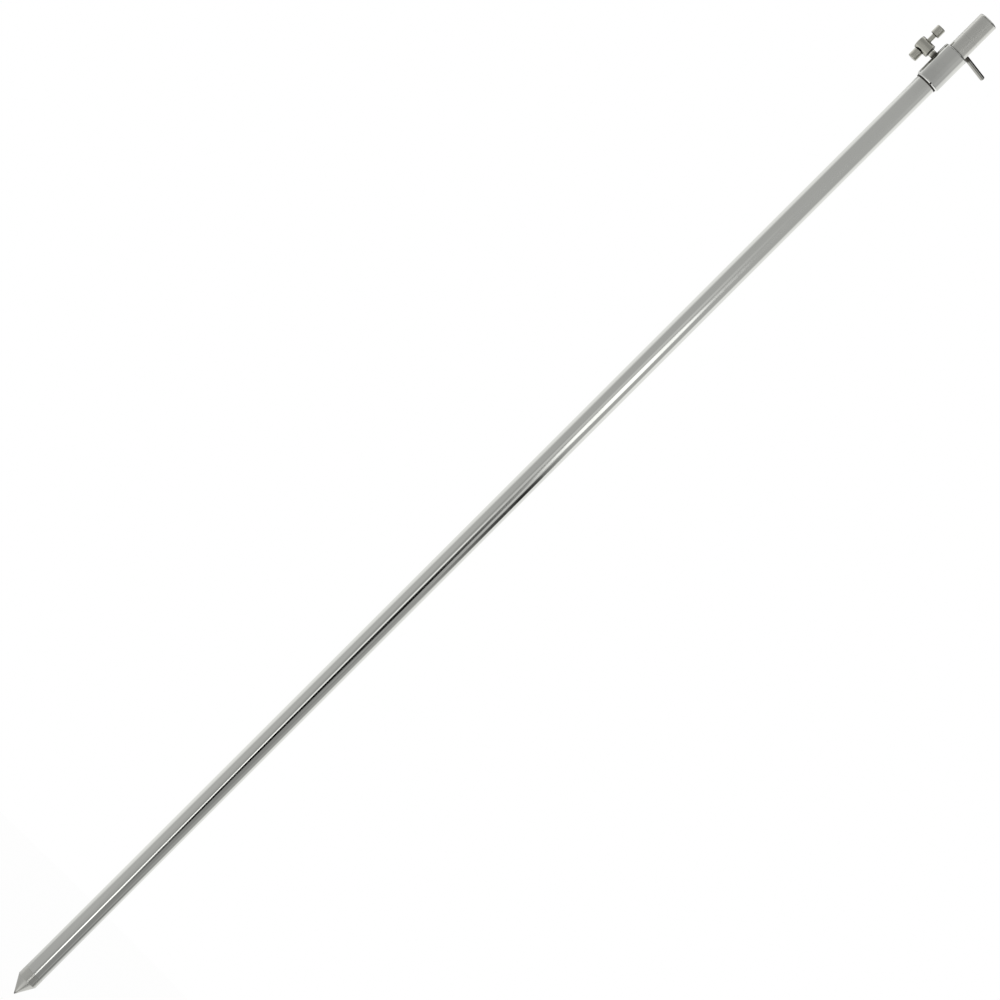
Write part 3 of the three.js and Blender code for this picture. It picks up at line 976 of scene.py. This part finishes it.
def makeFootShadeRing(size):
    corners = [
        (size["tube"], size["foot"], 0), (size["tube"] + 0.2, size["foot"], 0.12),
        (size["reach"], size["top"] - 0.3, 0.2), (size["reach"] - 0.1, size["top"] + 0.15, 0.1),
        (size["tube"], size["top"], 0),
    ]
    mesh = turnedMesh("footShadeRing", corners, "shadeRingBlack", closed=True, facets=160)
    addPiece("footShadeRing", mesh, "stake", [])


makeFootShadeRing(footShadeRing)

# Boss, screw and pad are drawn along +Z from the stick's axis and then laid towards -X
bossSize = {"foot": 8.3, "top": 12.95, "radius": 2.9, "bore": 2.05}


def makeBoss(size):
    corners = [
        (size["bore"], size["foot"], 0.1), (size["radius"], size["foot"], 0.1),
        (size["radius"], size["top"], 0.2), (size["bore"], size["top"], 0.15),
    ]
    mesh = layAlongScrew(turnedMesh("screwBoss", corners, "bossShadeAndGlint", closed=True, facets=96))
    addPiece("screwBoss", mesh, "stake", ["screw_boss"])


screwSize = {
    "tip": 8.85, "pilotTop": 10.05, "pilot": 1.0, "shank": 1.62, "shoulderFoot": 13.0, "shoulder": 3.1,
    "headFoot": 13.7, "headTop": 24.9, "head": 5.0, "footRound": 0.45, "topRound": 0.5,
    "barAt": 20.1, "barHole": 1.85, "mouthDepth": 0.35, "mouthFlare": 1.35,
}
screwThread = {
    "Wall Radius": 1.62, "Crest Radius": 1.95, "Sink": 0.05, "Pitch": 0.7, "Turns": 4.1, "Foot": 10.1,
    "Root Width": 0.62, "Crest Width": 0.12, "Run Out": 0.4, "Facets per Turn": 48,
}


def makeClampScrew(size):
    head, hole = size["head"], size["barHole"]
    corners = [
        (0, size["tip"], 0), (size["pilot"], size["tip"], 0.15), (size["pilot"], size["pilotTop"], 0),
        (size["shank"], size["pilotTop"], 0.1), (size["shank"], size["shoulderFoot"], 0),
        (size["shoulder"], size["shoulderFoot"], 0.12), (size["shoulder"], size["headFoot"], 0),
        (head, size["headFoot"], size["footRound"]), (head, size["headTop"], size["topRound"]),
        (0, size["headTop"], 0),
    ]
    body = turnedMesh("clampScrew", corners, "turnedScrew", facets=128)
    reach = head + 1  # past the head, so that the cut is clean
    mouth = head - size["mouthDepth"]
    flare = hole + size["mouthFlare"]
    drill = [
        (0, -reach, 0), (flare, -reach, 0), (hole, -mouth, 0),
        (hole, mouth, 0), (flare, reach, 0), (0, reach, 0),
    ]
    barHole = turnedMesh("barHole", drill, "turnedScrew", facets=64)
    acrossHead = Matrix.Rotation(math.radians(90), 4, "Y")
    barHole.transform(Matrix.Translation((0, 0, size["barAt"] * mm)) @ acrossHead)
    thread = threadMesh("screwThread", screwThread, "turnedScrew")
    mesh = layAlongScrew(joinMeshes("clampScrew", [cutMesh(body, [barHole]), thread]))
    addPiece("clampScrew", mesh, "t_screw", ["clamp_screw"])


padSize = {"foot": 7.8, "top": 10.0, "radius": 1.95, "socket": 1.1, "socketDepth": 1.3}


def makePad(size):
    socketFoot = size["top"] - size["socketDepth"]
    corners = [
        (0, size["foot"], 0), (size["radius"], size["foot"], 0.2), (size["radius"], size["top"], 0.2),
        (size["socket"], size["top"], 0.1), (size["socket"], socketFoot, 0), (0, socketFoot, 0),
    ]
    mesh = layAlongScrew(turnedMesh("pressurePad", corners, "turnedBrass", facets=64))
    addPiece("pressurePad", mesh, "pad", ["pressure_pad"])


makeBoss(bossSize)
makeClampScrew(screwSize)
makePad(padSize)

# Tommy bar and its two knobs
barSize = {"radius": 1.75, "foot": 920.0, "top": 946.4, "round": 0.2}
knobSize = {
    "radius": 3.5, "length": 7.0, "outerRound": 0.8, "innerRound": 0.2, "socket": 1.78, "socketDepth": 5.25,
    "socketRound": 0.12, "upperFoot": 941.2, "lowerTop": 925.2, "faceReach": 0.02,
}


def layAtTommy(mesh):
    mesh.transform(Matrix.Translation((tommyX * mm, 0, 0)))
    return mesh


def makeTommyBar(size):
    corners = [
        (0, size["foot"], 0), (size["radius"], size["foot"], size["round"]),
        (size["radius"], size["top"], size["round"]), (0, size["top"], 0),
    ]
    mesh = layAtTommy(turnedMesh("tommyBar", corners, "turnedKnob", facets=64))
    addPiece("tommyBar", mesh, "tommy", ["tommy_bar"])


def makeTommyKnob(size, name, node, openEnd, direction):
    # openEnd is the height of the face towards the screw, and the knob runs from it in that direction
    radius, socket = size["radius"], size["socket"]
    far, deep = size["length"], size["socketDepth"]
    corners = [
        (0, deep, 0), (socket, deep, 0), (socket, 0, size["socketRound"]), (radius, 0, size["innerRound"]),
        (radius, far, size["outerRound"]), (0, far, 0),
    ]
    placed = [(r, openEnd + direction * z, s) for r, z, s in corners]
    mesh = turnedMesh(name, placed, "turnedKnob", facets=96)
    # the face towards the screw takes the painted shade
    mesh.materials.append(finishes["knobGapShade"])
    for face in mesh.polygons:
        if abs(face.center.z / mm - openEnd) < size["faceReach"]:
            face.material_index = len(mesh.materials) - 1
    addPiece(name, layAtTommy(mesh), "tommy", [node])


makeTommyBar(barSize)
makeTommyKnob(knobSize, "tommyKnobUpper", "tommy_knob_upper", knobSize["upperFoot"], 1)
makeTommyKnob(knobSize, "tommyKnobLower", "tommy_knob_lower", knobSize["lowerTop"], -1)

# Inner tube, threaded head, pin and plug
innerSize = {
    "bore": 7.1, "radius": 7.5, "foot": 53.45, "top": 955.48, "rounds": (0.08, 0.12, 0.02, 0.05),
    "outsideRings": (938, 943, 949), "insideRings": (949, 943, 938), "pinHole": 1.88,
}


def layAlongPin(mesh):
    turn = Matrix.Rotation(math.radians(pinTurn), 4, "Z") @ Matrix.Rotation(math.radians(90), 4, "Y")
    mesh.transform(Matrix.Translation((0, 0, pinHeight * mm)) @ turn)
    return mesh


def makeInnerTube(size):
    wall = tubeMesh("innerTube", size, "satinTube")
    hole = layAlongPin(drillMesh("pinHole", size["pinHole"], "satinTube"))
    addPiece("innerTube", cutMesh(wall, [hole]), "inner_stem", ["inner_tube"])


headSize = {
    "spigotFoot": 949.5, "spigot": 7.07, "foot": 955.5, "radius": 7.5, "top": 975.0, "topRound": 1.4,
    "mouth": 4.75, "wall": 4.72, "socketFoot": 959.0,
}
socketThread = {
    "Wall Radius": 4.72, "Crest Radius": 4.15, "Sink": 0.08, "Pitch": 1.27, "Turns": 11.4, "Foot": 959.5,
    "Root Width": 1.15, "Crest Width": 0.2, "Run Out": 0.6, "Facets per Turn": 64,
}


def makeThreadedHead(size):
    corners = [
        (0, size["spigotFoot"], 0), (size["spigot"], size["spigotFoot"], 0.5),
        (size["spigot"], size["foot"], 0),
        (size["radius"], size["foot"], 0.02), (size["radius"], size["top"], size["topRound"]),
        (size["mouth"], size["top"], 0.02), (size["wall"], size["top"] - 0.4, 0),
        (size["wall"], size["socketFoot"], 0), (0, size["socketFoot"], 0),
    ]
    body = turnedMesh("threadedHead", corners, "satinHead", facets=192)
    thread = threadMesh("socketThread", socketThread, "satinHead")
    mesh = joinMeshes("threadedHead", [body, thread])
    addPiece("threadedHead", mesh, "inner_stem", ["threaded_head"])


pinSize = {"radius": 1.85, "inner": -4.95, "outer": 35.0, "endRound": 0.35}  # along the pin, from the axis


def makeStopPin(size):
    corners = [
        (0, size["inner"], 0), (size["radius"], size["inner"], 0.2),
        (size["radius"], size["outer"], size["endRound"]), (0, size["outer"], 0),
    ]
    mesh = layAlongPin(turnedMesh("stopPin", corners, "groundPin", facets=96))
    addPiece("stopPin", mesh, "inner_stem", ["stop_pin"])


plugSize = {"foot": 50.4, "flange": 7.55, "flangeTop": 53.4, "plug": 7.07, "top": 65.4}


def makeFootPlug(size):
    corners = [
        (0, size["foot"], 0), (size["flange"], size["foot"], 0.8), (size["flange"], size["flangeTop"], 0.15),
        (size["plug"], size["flangeTop"], 0), (size["plug"], size["top"], 0.8), (0, size["top"], 0),
    ]
    mesh = turnedMesh("footPlug", corners, "blackNylon", facets=96)
    addPiece("footPlug", mesh, "foot_guide", ["foot_plug"])


makeInnerTube(innerSize)
makeThreadedHead(headSize)
makeStopPin(pinSize)
makeFootPlug(plugSize)
print("stage: pieces made")
